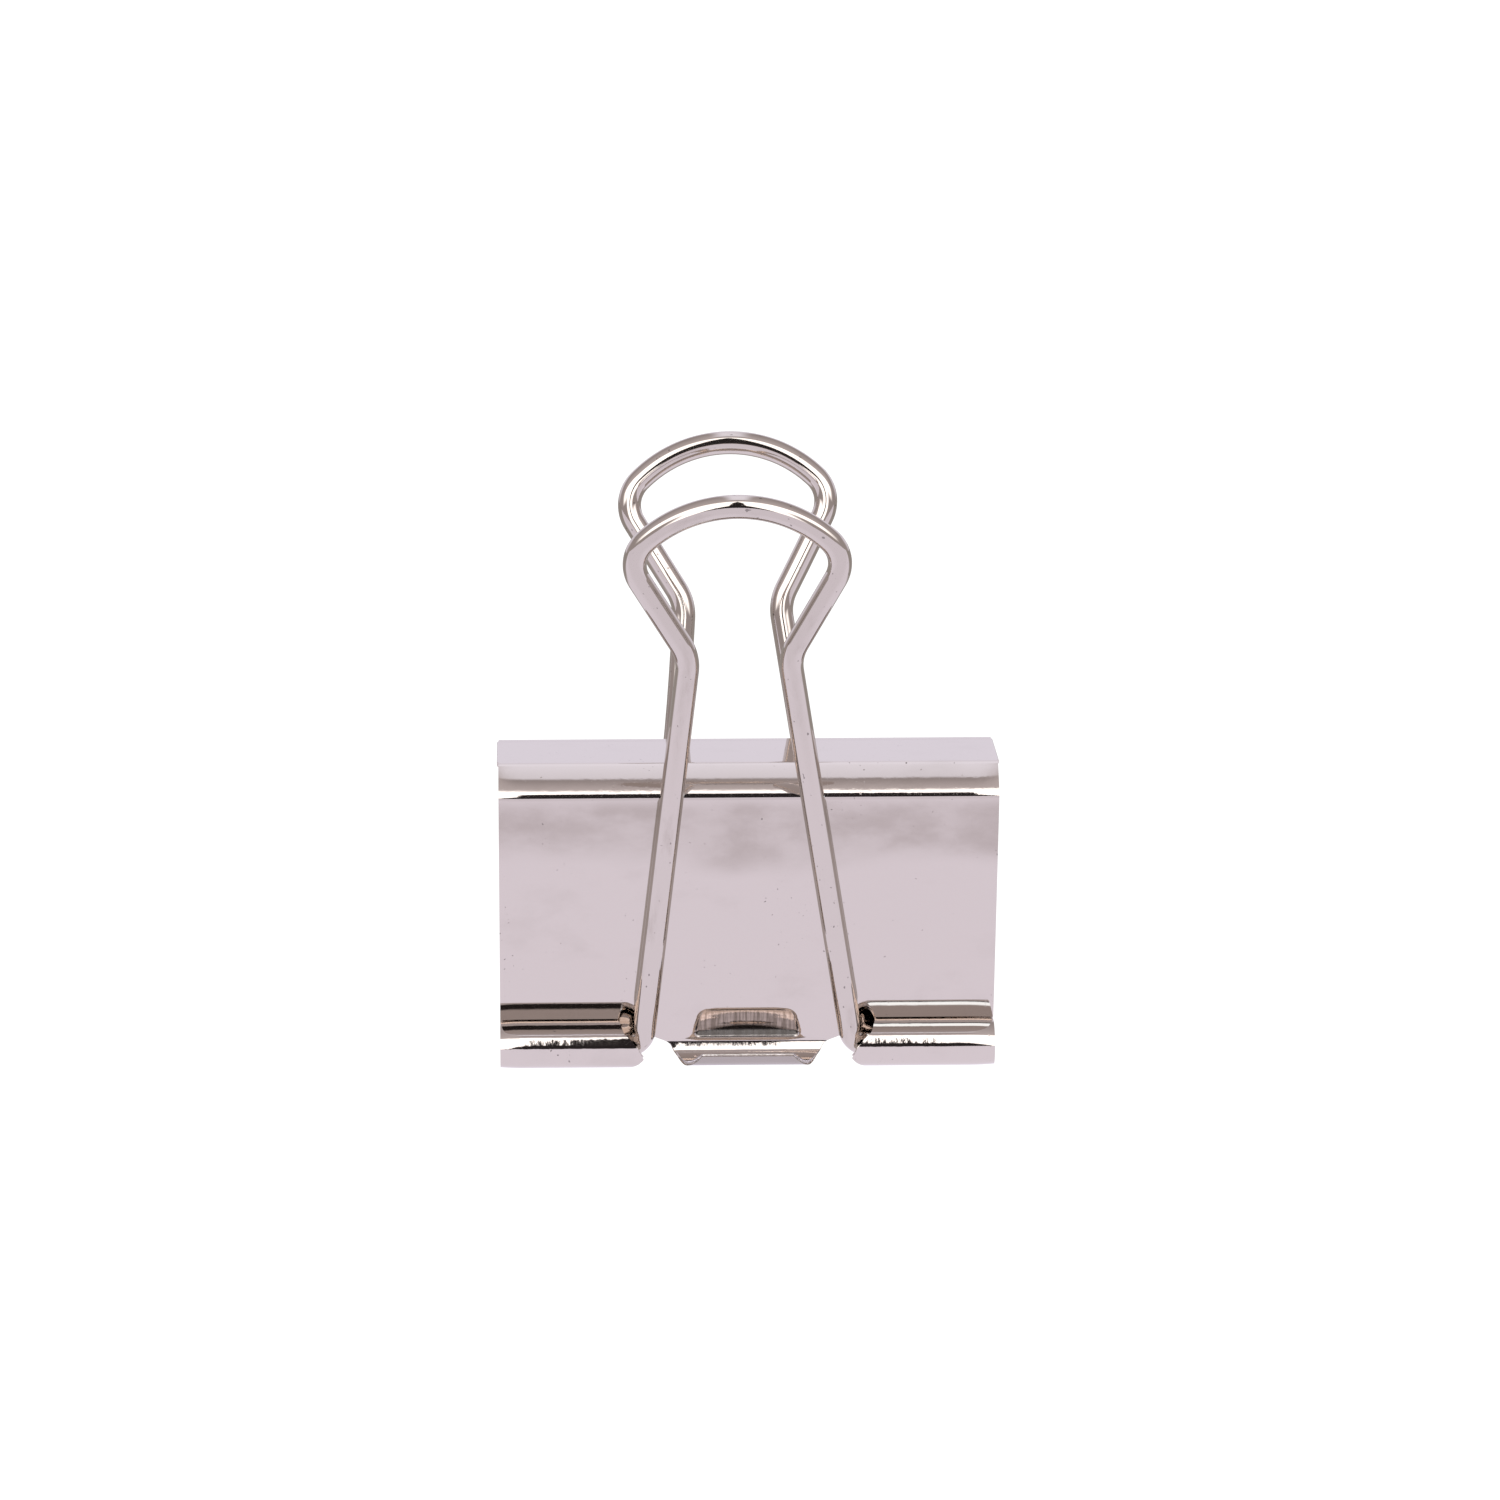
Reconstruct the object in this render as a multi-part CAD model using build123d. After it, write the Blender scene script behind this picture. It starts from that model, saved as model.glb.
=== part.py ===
from build123d import *
import os
from math import acos, asin, atan2, cos, degrees, hypot, radians, sin, sqrt, tan

# A foldback clip: one sprung steel sheet bent over a flat spine into two jaws, and two wire handles
# whose feet turn in the jaws' rolled curls. The sheet is divided where its bends start, so that each
# jaw can open, and each bend goes with its jaw.
# Millimetres. X runs along the mouth, the front is -Y, and Z = 0 is the surface the curls stand on.
# "Out" is the distance from the middle plane Y = 0 and "up" is Z. The rear half is drawn, and the
# front half is its mirror image.

# Sheet body
clip_width = 51.0
clip_height = 32.6
spine_flat = 13.0
bend_radius = 2.5
sheet = 0.5
mouth_gap = 0.8

# Wire handles: heights run along the handle from its feet, and bends have their inside radius
wire = 2.4
foot_spacing = 21.6
foot_length = 9.0
foot_bend = 0.8
neck_spacing = 10.1
neck_bend = 3.8
loop_width = 20.4
shoulder_bend = 2.4
leg_height = 44.7
flare_height = 10.1
crown_height = 6.3
handle_lean = -1.6
rest_clearance = 0.1

# Rolled curls, which hold the wire's feet loosely
foot_play = 0.5
curl_seam_gap = 0.12
swing_clearance = 0.15
curl_end_slant_height = 1.8
curl_end_slant_inset = 1.3
curl_end_corner = 0.5

# Middle tongue, rolled like the curls but only as far as an open lip
tongue_clearance = 0.2
tongue_fold_inset = 3.0
lip_edge_inset = 1.8
lip_wrap = 183.0

# Dimple stamped into the jaw just above the tongue's roll: a pocket with a long upper wall and a short
# lower one, which meet in a narrow fold. It raises a ridge inside the mouth, and the ridges of the two
# jaws meet before the curls do.
dimple_length = 11.0
dimple_top_length = 9.4
dimple_height = 3.2
dimple_corner = 0.7
dimple_above_roll = 0.1
fold_length = 10.0
fold_width = 0.3
fold_corner = 0.1
fold_above_edge = 0.6
ridge_gap = 0.2

# Curl and bend, each a circle in the section
wire_radius = wire / 2
bore_radius = wire_radius + foot_play
curl_radius = bore_radius + sheet
curl_out = curl_radius + mouth_gap / 2
curl_up = curl_radius
beyond_curl = curl_out + 2 * curl_radius
bend_out = spine_flat / 2
bend_up = clip_height - bend_radius
half_width = clip_width / 2
curl_centre = Vector(curl_out, curl_up)
bend_centre = Vector(bend_out, bend_up)

# The jaw is the line that rolls off both circles, and the handle's legs run from the curl's centre to
# where the wire lies on the bend
span = hypot(bend_out - curl_out, bend_up - curl_up)
span_lean = atan2(bend_out - curl_out, bend_up - curl_up)
jaw_lean = span_lean + asin((bore_radius + bend_radius) / span)
leg_lean = span_lean + asin((bend_radius + wire_radius + rest_clearance) / span)
into_mouth = Vector(-cos(jaw_lean), sin(jaw_lean))

# The roll starts where the jaw touches the curl's circle, and a curl closes up to its seam gap
roll_start = 180 - degrees(jaw_lean)
curl_wrap = 360 - degrees(acos((bore_radius - curl_seam_gap) / curl_radius))

# The loop stands to one side of its feet, because the wire sits loosely in its curls
shoulder_height = leg_height + flare_height
handle_height = shoulder_height + crown_height
neck_lean = handle_lean * leg_height / handle_height
loop_lean = handle_lean * shoulder_height / handle_height

# The curls end clear of the steeper leg's bend as it swings past, and the tongue fits between the legs
foot_bend_radius = wire_radius + foot_bend
leg_inset = (foot_spacing - neck_spacing) / 2 - abs(neck_lean)
foot_tangent = foot_bend_radius * tan((radians(90) - atan2(leg_inset, leg_height)) / 2)
bend_above_bore = max(foot_bend - foot_play, 0)
leg_outside = foot_spacing / 2 + foot_tangent - sqrt(foot_bend**2 - bend_above_bore**2)
curl_end = leg_outside + swing_clearance
tongue_root = foot_spacing / 2 - wire_radius - tongue_clearance
tongue_fold = tongue_root - tongue_fold_inset
lip_edge = tongue_fold - lip_edge_inset

# The dimple is as deep as brings the two ridges to their gap
fold_low = dimple_above_roll + fold_above_edge
fold_out = curl_out - curl_radius * cos(jaw_lean) + fold_low * sin(jaw_lean)
dimple_depth = (fold_out - ridge_gap / 2) / cos(jaw_lean)


def section(face, start, end):
    """A section drawn in (out, up), run along X from start to end."""
    return extrude(Plane.YZ.offset(start) * face, amount=end - start)


def outline(points, near, far):
    """An outline drawn in (X, up), run outwards from near to far."""
    face = make_face(Polyline(*points, close=True))
    return extrude(Plane.XZ.offset(-near) * face, amount=near - far)


def rolled_sheet(wrap):
    """Section of the sheet where it rolls on from the jaw around the curl's centre."""
    outside = CenterArc(curl_centre, curl_radius, roll_start, wrap)
    inside = CenterArc(curl_centre, bore_radius, roll_start, wrap)
    ends = [Line(inside @ 0, outside @ 0), Line(inside @ 1, outside @ 1)]
    return make_face([outside, inside] + ends)


def bend_and_leaf():
    """The jaw's flat leaf and the bend above it, across the clip's whole width."""
    turn = 90 + degrees(jaw_lean)
    outer_bend = CenterArc(bend_centre, bend_radius, 90, -turn)
    inner_bend = CenterArc(bend_centre, bend_radius - sheet, 90, -turn)
    outer_foot = curl_centre + into_mouth * bore_radius
    inner_foot = curl_centre + into_mouth * curl_radius
    edges = [
        Line(inner_bend @ 0, outer_bend @ 0),
        outer_bend,
        Line(outer_bend @ 1, outer_foot),
        Line(outer_foot, inner_foot),
        Line(inner_foot, inner_bend @ 1),
        inner_bend,
    ]
    return section(make_face(edges), -half_width, half_width)


def curl(side):
    """One rolled curl, its inner end slanted above and eased at the bottom corner."""
    start, end = sorted((side * curl_end, side * half_width))
    roll = section(rolled_sheet(curl_wrap), start, end)
    top = curl_up + curl_radius
    slant = [
        (side * curl_end, top - curl_end_slant_height),
        (side * (curl_end + curl_end_slant_inset), top),
        (side * (curl_end + curl_end_slant_inset), top + sheet),
        (side * (curl_end - sheet), top + sheet),
        (side * (curl_end - sheet), top - curl_end_slant_height),
    ]
    corner = [
        (side * curl_end, curl_end_corner),
        (side * (curl_end + curl_end_corner), 0),
        (side * (curl_end + curl_end_corner), -sheet),
        (side * (curl_end - sheet), -sheet),
        (side * (curl_end - sheet), curl_end_corner),
    ]
    return roll - outline(slant, curl_out, beyond_curl) - outline(corner, -curl_radius, beyond_curl)


def tongue():
    """The middle tongue, tapering all the way round its roll to the open lip's edge."""
    roll = section(rolled_sheet(lip_wrap), -tongue_root, tongue_root)
    root_up = curl_up + curl_radius * sin(jaw_lean)
    edge_up = curl_up + bore_radius * sin(radians(roll_start + lip_wrap))
    fold = [(tongue_fold, -sheet), (tongue_fold, 0)]
    to_root = fold + [(tongue_root, root_up), (tongue_root, root_up + sheet)]
    to_edge = fold + [(lip_edge, edge_up), (lip_edge, edge_up + sheet)]
    back, front = (half + [(-x, up) for x, up in reversed(half)] for half in (to_root, to_edge))
    return roll & (outline(back, -curl_radius, curl_out) + outline(front, curl_out, beyond_curl))


def on_jaw(depth):
    """A plane on the jaw that faces out with its Y up, at a depth from the curl's centre line."""
    spot = curl_centre + into_mouth * depth
    return Plane((0, spot.X, spot.Y), x_dir=(-1, 0, 0), z_dir=(0, -into_mouth.X, -into_mouth.Y))


def rounded_outline(low_length, high_length, low, high, corner):
    """A face on the jaw with rounded corners, between two heights with a length at each."""
    right = [(low_length / 2, low), (high_length / 2, high)]
    left = [(-high_length / 2, high), (-low_length / 2, low)]
    return make_face(FilletPolyline(*right, *left, radius=corner, close=True))


def pressed(depth):
    """What the dimple's punch sweeps, from a face of the sheet at a depth from the curl's centre line."""
    top = dimple_above_roll + dimple_height
    mouth = rounded_outline(dimple_length, dimple_top_length, dimple_above_roll, top, dimple_corner)
    fold = rounded_outline(fold_length, fold_length, fold_low, fold_low + fold_width, fold_corner)
    return loft([on_jaw(depth) * mouth, on_jaw(depth + dimple_depth) * fold], ruled=True)


def jaw():
    """A jaw: bend, leaf, two curls, tongue and dimple in one piece of sheet."""
    body = bend_and_leaf() + curl(-1) + curl(1) + tongue()
    return body + pressed(curl_radius) - pressed(bore_radius)


def handle():
    """A handle: one wire bent through feet, legs, neck, shoulders and crown."""
    shoulder_radius = wire_radius + shoulder_bend
    shoulder_offset = loop_width / 2 - shoulder_radius
    crown_radius = (shoulder_offset**2 + crown_height**2 - shoulder_radius**2) / (
        2 * (crown_height - shoulder_radius)
    )
    crown_up = shoulder_height + crown_height - crown_radius
    crown_half = degrees(asin(shoulder_offset / (crown_radius - shoulder_radius)))

    lower, shoulders = [], []
    for side in (1, -1):
        shoulder = Vector(side * shoulder_offset + loop_lean, shoulder_height)
        neck = Vector(side * neck_spacing / 2 + neck_lean, leg_height)
        to_neck = neck - shoulder
        touch = atan2(to_neck.Y, to_neck.X) + side * acos(shoulder_radius / to_neck.length)
        flare_top = shoulder + Vector(cos(touch), sin(touch)) * shoulder_radius
        foot = Vector(side * foot_spacing / 2, 0)
        foot_end = foot + Vector(side * foot_length, 0)
        radii = [foot_bend_radius, wire_radius + neck_bend]
        lower.append(FilletPolyline(foot_end, foot, neck, flare_top, radius=radii))
        crown_join = 90 - side * crown_half
        sweep_angle = (crown_join - degrees(touch) + 180) % 360 - 180
        shoulders.append(CenterArc(shoulder, shoulder_radius, degrees(touch), sweep_angle))
    crown = CenterArc((loop_lean, crown_up), crown_radius, 90 - crown_half, 2 * crown_half)

    plane = Plane((0, curl_out, curl_up), x_dir=(1, 0, 0), z_dir=(0, -cos(leg_lean), sin(leg_lean)))
    path = plane * Wire([edge for curve in (*lower, *shoulders, crown) for edge in curve.edges()])
    return sweep(Plane(path @ 0, z_dir=path % 0) * Circle(wire_radius), path=path)


spine_plate = Pos(0, 0, clip_height - sheet / 2) * Box(clip_width, spine_flat, sheet)
rear_jaw = jaw()
rear_handle = handle()
nodes = {
    "spine_plate": spine_plate,
    "front_jaw": mirror(rear_jaw, Plane.XZ),
    "rear_jaw": rear_jaw,
    "front_handle": mirror(rear_handle, Plane.XZ),
    "rear_handle": rear_handle,
}

os.makedirs("parts", exist_ok=True)
for name, shape in nodes.items():
    export_step(shape, f"parts/{name}.step")
print("jaw lean", round(degrees(jaw_lean), 2), "leg lean", round(degrees(leg_lean), 2))
print("handle pivot", round(curl_out, 3), round(curl_up, 3), "curl end", round(curl_end, 3))
print("dimple depth", round(dimple_depth, 3))
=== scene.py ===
from math import acos, asin, atan2, cos, degrees, hypot, pi, radians, sin, tan

import bmesh
import bpy
import numpy as np
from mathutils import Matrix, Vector


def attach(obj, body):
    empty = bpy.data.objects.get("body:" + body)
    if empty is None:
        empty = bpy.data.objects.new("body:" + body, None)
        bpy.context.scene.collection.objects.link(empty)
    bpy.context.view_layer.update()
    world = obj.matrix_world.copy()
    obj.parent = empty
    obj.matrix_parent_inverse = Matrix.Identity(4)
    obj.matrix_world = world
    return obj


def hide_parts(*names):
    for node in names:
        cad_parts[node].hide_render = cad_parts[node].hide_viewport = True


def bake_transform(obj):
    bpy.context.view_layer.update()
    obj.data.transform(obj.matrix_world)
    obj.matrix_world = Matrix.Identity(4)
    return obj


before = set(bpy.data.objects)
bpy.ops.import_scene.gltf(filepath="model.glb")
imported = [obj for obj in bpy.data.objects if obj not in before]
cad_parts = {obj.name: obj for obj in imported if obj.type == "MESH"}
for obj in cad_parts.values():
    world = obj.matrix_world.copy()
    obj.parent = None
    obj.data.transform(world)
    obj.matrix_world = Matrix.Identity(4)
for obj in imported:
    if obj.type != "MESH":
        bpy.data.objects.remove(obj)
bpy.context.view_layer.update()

# Looks of the foldback clip: the sheet as a spine and two jaws, two wire handles,
# nickel plate on both, a white floor and a tent of soft light.
# Sizes are in millimetres, as in the part's source, and become metres in add_piece. The shaders, the
# floor and the camera are in metres.
# "Out" is the distance from the middle plane and "up" is Z; the front half is at negative Y.
MM = 0.001

# Sheet
half_width = 25.5
clip_height = 32.6
sheet = 0.5
bore_radius = 1.7
curl_centre = np.array([2.6, 2.2])
bend_centre = np.array([6.5, 30.1])
bend_radius = 2.5
span = bend_centre - curl_centre
span_lean = atan2(span[0], span[1])
jaw_lean = span_lean + asin((bore_radius + bend_radius) / hypot(*span))
leaf_normal = np.array([cos(jaw_lean), -sin(jaw_lean)])
leaf_up = np.array([sin(jaw_lean), cos(jaw_lean)])
leaf_foot = curl_centre - leaf_normal * bore_radius

# Its rounded edges: radius, the angles where the rounding has points, and the least squared length of a
# corner's mean direction, which keeps its mitre short. Folds over the sharp angle are shaded as sharp.
edge_round = 0.15
edge_angles = 45, 90
mitre_least = 0.3
sharp_angle = 60.0

# The bend as the tools leave it, from the spine down: the outward slope at the end of each arc, in
# degrees above the horizon, and the arc's outer radius
bend_arcs = [(51.0, 1.0), (35.2, 12.0), (-degrees(jaw_lean), 0.9)]
bend_step = 2.0
flat_strip = 0.6

# How far the sheet counts as bent, from 0 to 1. It grows where the bend's outward direction falls below a
# rise, fades over a length of leaf, and grows again over a turn of the rolls. Where the sheet ends, its
# bends are drawn in a little.
bent_rise, bent_fade = 0.85, 0.3
bent_leaf = 2.0
bent_turn = 60.0
end_flare = 0.12
end_flare_width = 2.5

# Rolls at the foot of the jaw, in degrees of turn from the leaf: the turn at the end of each arc and the
# arc's radius at the middle of the sheet. A curl's last stretch is straighter and closes on the leaf, and
# the tongue starts with a sharper bend than the curls.
roll_start = 180.0 - degrees(jaw_lean)
curl_arcs = [(256.5, 1.95), (292.0, 3.55)]
tongue_arcs = [(43.0, 1.1), (52.0, 3.85), (172.0, 2.1)]
curl_wrap = curl_arcs[-1][0]
lip_wrap = tongue_arcs[-1][0]
roll_step = 4.0
turn_slack = 0.01
curl_end = 12.0
# A curl's inner end, as turns round the roll and distances from the middle: its point stands between
# the places where the leg lies when the handle is up and when it is down
curl_end_turns = [0, 60, 121, 148, 170, 201, 225, 243, 316]
curl_end_places = [12.0, 12.1, 12.0, 11.1, 10.5, 11.1, 11.8, 12.5, 13.4]
# Half the tongue's width at turns round its roll, and the arched top of the notch beside it
tongue_turns = [0, 23, 43, 67, 118, 172]
tongue_halves = [9.3, 8.45, 7.95, 7.3, 6.4, 4.85]
notch_arch = 0.3
notch_arch_width = 1.0
notch_arch_reach = 0.8

# Where the tongue, the curls and the sheet end before their edges are rounded
tongue_side = tongue_halves[0] - edge_round
curl_side = curl_end + edge_round
outer_side = half_width - edge_round

# The leaf flares out a little over the tongue, by height on the leaf
flare_heights = [0.0, 1.3, 2.3]
flare_reaches = [0.17, 0.04, 0.0]
flare_fade = 1.5

# Shallow groove that the rolling leaves in the leaf above a curl, by height on the leaf
groove_heights = [0.0, 1.5, 2.0, 4.2, 4.8, 5.5]
groove_depths = [0.0, 0.27, 0.25, 0.045, 0.01, 0.0]
groove_start, groove_full = 11.0, 12.5

# The rolls aren't quite true, and lean a little along X, which shifts what they reflect: slopes of the
# left curl's front by turn and place, of the right curl by turn, which fades out up the groove above it,
# and of the tongue's bend by place and turn
left_skew_turns = [150, 172, 238, 252]
left_skew_places = [-25.5, -24.5, -23.2, -18.5, -12.0]
left_skews = [-0.05, -0.04, -0.0185, -0.0195, -0.003]
right_skew_turns = [130, 150, 238, 252]
right_skews = [0.065, 0.019, 0.019, 0.065]
groove_skew_heights = groove_heights[-3:-1]
tongue_skew_places = [-8.0, -7.2, 3.0, 4.5, 9.0]
tongue_skews = [0.0, 0.029, 0.0235, 0.046, 0.044]
tongue_skew_turns = 60, 90

# Dimple
dimple_low, dimple_high = 0.1, 3.3
dimple_low_half, dimple_high_half = 5.65, 4.75
dimple_corner = 0.9
dimple_depth = 0.62
dimple_ease = 0.15
fold_low, fold_high = 0.6, 0.9
fold_arch = 0.45
end_wall = 0.55

# Painted shade in the dimple's fold by share of its depth, on its lower wall, and on the lip by turn
fold_shade_start, fold_shade_fade = 0.77, 0.17
lower_wall_shade, lower_wall_fade = 0.86, 0.2
lip_shade = 0.45
lip_shade_start, lip_shade_fade = 90.0, 40.0

# Rows and columns of the sheet's mesh. The columns stand closest over the dimple's ends, and the rows on
# the leaf below the groove's top.
spine_rows = 9
upper_leaf_rows, lower_leaf_rows = 18, 69
dimple_middle, dimple_columns = 4.2, 8
dimple_ends, dimple_step = (4.3, 5.85), 0.1
beyond_dimple, tongue_columns = 6.2, 6
notch_columns = 5
inner_insets, outer_insets, curl_columns = (0.2, 0.5, 1.0), (0.6, 0.2, 0.0), 13

# Wire
wire_radius = 1.2
foot_spacing = 21.6
foot_length = 9.0
foot_bend_radius = 2.0
neck_spacing = 10.1
neck_bend_radius = 5.0
loop_width = 20.4
shoulder_radius = 3.6
leg_height = 44.7
shoulder_height = 54.8
crown_height = 6.3
handle_lean = -1.6
rest_clearance = 0.1
leg_lean = span_lean + asin((bend_radius + wire_radius + rest_clearance) / hypot(*span))
# How far each loop is bent up at its left and right, on the front handle and the rear one
loop_lifts = {-1: (0.15, 0.15), 1: (0.05, 0.45)}
# How far the left leg is bowed in, and the heights where its bow is widest and ends
leg_bows = {-1: 0.0, 1: 0.6}
bow_widest, bow_end = 31.0, 55.0
# Steps along its arcs in degrees and along its straight runs, and its section
arc_step, crown_step = 3.0, 2.0
route_step = 3.0
least_step = 1e-6
wire_sides = 48
wire_chamfer = 0.2

# Shifts that give the plate's patterns another stretch on each face of the sheet, jaw and handle
face_shift = 40.0
jaw_shift = 100.0
handle_shift = 200.0


def at(angle):
    """Unit vector at an angle in degrees."""
    return np.array([cos(radians(angle)), sin(radians(angle))])


def add_piece(name, points, faces, materials, kinds=None, attributes=None):
    """A closed mesh piece with smooth faces, sharp only at its square corners."""
    mesh = bpy.data.meshes.new(name)
    mesh.from_pydata((np.asarray(points) * MM).tolist(), [], faces)
    for material in materials:
        mesh.materials.append(material)
    if kinds is not None:
        mesh.polygons.foreach_set("material_index", kinds)
    for key, values in (attributes or {}).items():
        values = np.asarray(values, dtype=np.float32)
        kind, field = ("FLOAT_VECTOR", "vector") if values.ndim == 2 else ("FLOAT", "value")
        mesh.attributes.new(key, kind, "POINT").data.foreach_set(field, values.ravel())
    shaped = bmesh.new()
    shaped.from_mesh(mesh)
    bmesh.ops.recalc_face_normals(shaped, faces=shaped.faces)
    shaped.to_mesh(mesh)
    shaped.free()
    mesh.polygons.foreach_set("use_smooth", [True] * len(mesh.polygons))
    mesh.set_sharp_from_angle(angle=radians(sharp_angle))
    piece = bpy.data.objects.new(name, mesh)
    bpy.context.scene.collection.objects.link(piece)
    return piece


def thicken(points, normals, faces, seam):
    """The sheet round a middle surface: two faces and a rim, which is rounded except along a seam.

    Returns the points, the faces, which faces are cut edge, and each point's source and side."""
    count = len(points)
    half = sheet / 2
    sources = list(range(count)) * 2
    sides = [1.0] * count + [-1.0] * count
    made = [*(points + normals * half), *(points - normals * half)]
    shell = [list(face) for face in faces] + [[i + count for i in reversed(face)] for face in faces]
    kinds = [0] * len(shell)

    directed = {(face[i], face[(i + 1) % 4]) for face in faces for i in range(4)}
    border = sorted(edge for edge in directed if edge[::-1] not in directed)
    outward = {}
    for a, b in border:
        for i in (a, b):
            outward.setdefault(i, [])
            if not (seam[a] and seam[b]):
                way = np.cross(points[b] - points[a], normals[i])
                outward[i].append(way / np.linalg.norm(way))

    rims = {}
    profile = [(angle, 1) for angle in edge_angles] + [(angle, -1) for angle in reversed(edge_angles)]
    for i, ways in outward.items():
        way = np.zeros(3)
        if ways:
            mean = sum(ways) / len(ways)
            way = mean / max(mean @ mean, mitre_least)
        rims[i] = [i]
        for angle, side in profile:
            reach = edge_round * sin(radians(angle))
            level = half - edge_round * (1 - cos(radians(angle)))
            rims[i].append(len(made))
            made.append(points[i] + way * reach + normals[i] * level * side)
            sources.append(i)
            sides.append(side / 2)
        rims[i].append(i + count)
    for a, b in border:
        for k in range(len(profile) + 1):
            shell.append([rims[a][k], rims[a][k + 1], rims[b][k + 1], rims[b][k]])
            kinds.append(int(0 < k < len(profile) and not (seam[a] and seam[b])))
    return np.array(made), shell, kinds, np.array(sources), np.array(sides)


def bend_profile():
    """Outer points and outward directions of the bend, from the spine to the leaf, and the height on the
    leaf where it ends."""
    directions, steps = [90.0], [(0.0, 0.0)]
    for end, radius in bend_arcs:
        start = directions[-1]
        count = max(2, round((start - end) / bend_step))
        for k in range(1, count + 1):
            directions.append(start + (end - start) * k / count)
            steps.append(tuple(radius * (at(directions[-1]) - at(directions[-2]))))
    points = np.cumsum(np.array(steps), axis=0) + [0, clip_height]
    height = (points[-1][1] - leaf_foot[1]) / leaf_up[1]
    points[:, 0] += (leaf_foot + leaf_up * height)[0] - points[-1][0]
    return points, [at(angle) for angle in directions], height


bend_points, bend_ways, leaf_length = bend_profile()
seam_out = bend_points[0][0] - flat_strip


def pressed(x, v):
    """Depth of the dimple at a place on the leaf: a steep lower wall under a long upper one, and ends
    that follow a rounded outline."""
    slope = (dimple_high_half - dimple_low_half) / (dimple_high - dimple_low)
    near_edge = np.clip(dimple_corner - min(v - dimple_low, dimple_high - v), 0, dimple_corner)
    half = dimple_low_half + slope * (v - dimple_low)
    half -= dimple_corner - np.sqrt(dimple_corner**2 - near_edge**2)
    arched = 1 - fold_arch * min(1.0, abs(x) / dimple_low_half) ** 2
    shares = [
        (v - dimple_low) / (fold_low - dimple_low),
        (dimple_high - v) / (dimple_high - fold_high) * arched,
        (half - abs(x)) / end_wall,
        1.0,
    ]
    low = shares[0]
    for share in shares[1:]:
        mixed = np.clip(0.5 + 0.5 * (share - low) / dimple_ease, 0, 1)
        low = share + (low - share) * mixed - dimple_ease * mixed * (1 - mixed)
    mixed = np.clip(0.5 + 0.5 * low / dimple_ease, 0, 1)
    return dimple_depth * max(0.0, low * mixed + dimple_ease * mixed * (1 - mixed))


def roll_middle(arcs, turn):
    """Middle of the sheet at a turn round a roll of arcs, which starts at the foot of the leaf."""
    middle, start = leaf_foot - leaf_normal * sheet / 2, 0.0
    for end, radius in arcs:
        stop = min(turn, end)
        if stop > start:
            middle = middle + radius * (at(roll_start + stop) - at(roll_start + start))
        start = end
    return middle


def columns():
    """Places along X, and the block that each step between them belongs to."""
    tongue = [
        *np.linspace(0, dimple_middle, dimple_columns),
        *np.arange(*dimple_ends, dimple_step),
        *np.linspace(beyond_dimple, tongue_side, tongue_columns),
    ]
    notch = [*np.linspace(tongue_side, curl_side, notch_columns)[1:]]
    inner = [curl_side + inset for inset in inner_insets]
    outer = [outer_side - inset for inset in outer_insets]
    curl = [*inner[:-1], *np.linspace(inner[-1], outer[0], curl_columns), *outer[1:]]
    right = tongue + notch + curl
    places = [-x for x in reversed(right[1:])] + right
    blocks = []
    for a, b in zip(places, places[1:]):
        middle = abs(a + b) / 2
        blocks.append("tongue" if middle < tongue_side else "notch" if middle < curl_side else "curl")
    return np.array(places), blocks


def section_rows():
    """Rows of a jaw from the spine to the curl's seam, each with its middle point, outward direction,
    height on the leaf, turn round the roll and how far the sheet is bent."""
    half = sheet / 2
    top = np.array([0.0, 1.0])
    rows = [(np.array([seam_out, clip_height]) - top * half, top, None, 0.0, 0.0)]
    for point, way in zip(bend_points, bend_ways):
        bent = np.clip((bent_rise - way[1]) / bent_fade, 0, 1)
        rows.append((point - way * half, way, None, 0.0, bent))
    groove_top = groove_heights[-1]
    heights = [*np.linspace(leaf_length, groove_top, upper_leaf_rows)[1:]]
    heights += [*np.linspace(groove_top, 0, lower_leaf_rows)[1:]]
    for v in heights:
        bent = max(0.0, 1 - (leaf_length - v) / bent_leaf)
        rows.append((leaf_foot + leaf_up * v - leaf_normal * half, leaf_normal, v, 0.0, bent))
    turns = [*np.linspace(0, lip_wrap, round(lip_wrap / roll_step))[1:]]
    turns += [*np.linspace(lip_wrap, curl_wrap, round((curl_wrap - lip_wrap) / roll_step))[1:]]
    for turn in turns:
        bent = min(1.0, turn / bent_turn)
        rows.append((roll_middle(curl_arcs, turn), -at(roll_start + turn), None, turn, bent))
    return rows


def on_leaf(x, v):
    """How deep a place on the leaf is pressed, and its share of the dimple, painted shade and skew."""
    depth = pressed(x, v)
    dent = depth / dimple_depth
    # Painted shade deep in the dimple's fold and on its lower wall
    painted_shade = np.clip((dent - fold_shade_start) / fold_shade_fade, 0, 1)
    if v < fold_low:
        painted_shade = max(painted_shade, lower_wall_shade * np.clip(dent / lower_wall_fade, 0, 1))
    above_curl = np.clip((abs(x) - groove_start) / (groove_full - groove_start), 0, 1)
    depth += np.interp(v, groove_heights, groove_depths) * above_curl
    over_tongue = np.clip(1 - (abs(x) - tongue_side) / flare_fade, 0, 1)
    depth -= np.interp(v, flare_heights, flare_reaches) * over_tongue
    skew = right_skews[0] * above_curl * np.interp(v, groove_skew_heights, [1, 0])
    return depth, dent, painted_shade, skew if x > 0 else 0.0


def on_notch(x, v):
    """How far the leaf's lower edge is arched up at a place over a notch."""
    across = np.clip((abs(x) - tongue_side) / notch_arch_width, 0, 1)
    return notch_arch * sin(across * pi / 2) * max(0.0, 1 - v / notch_arch_reach)


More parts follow.
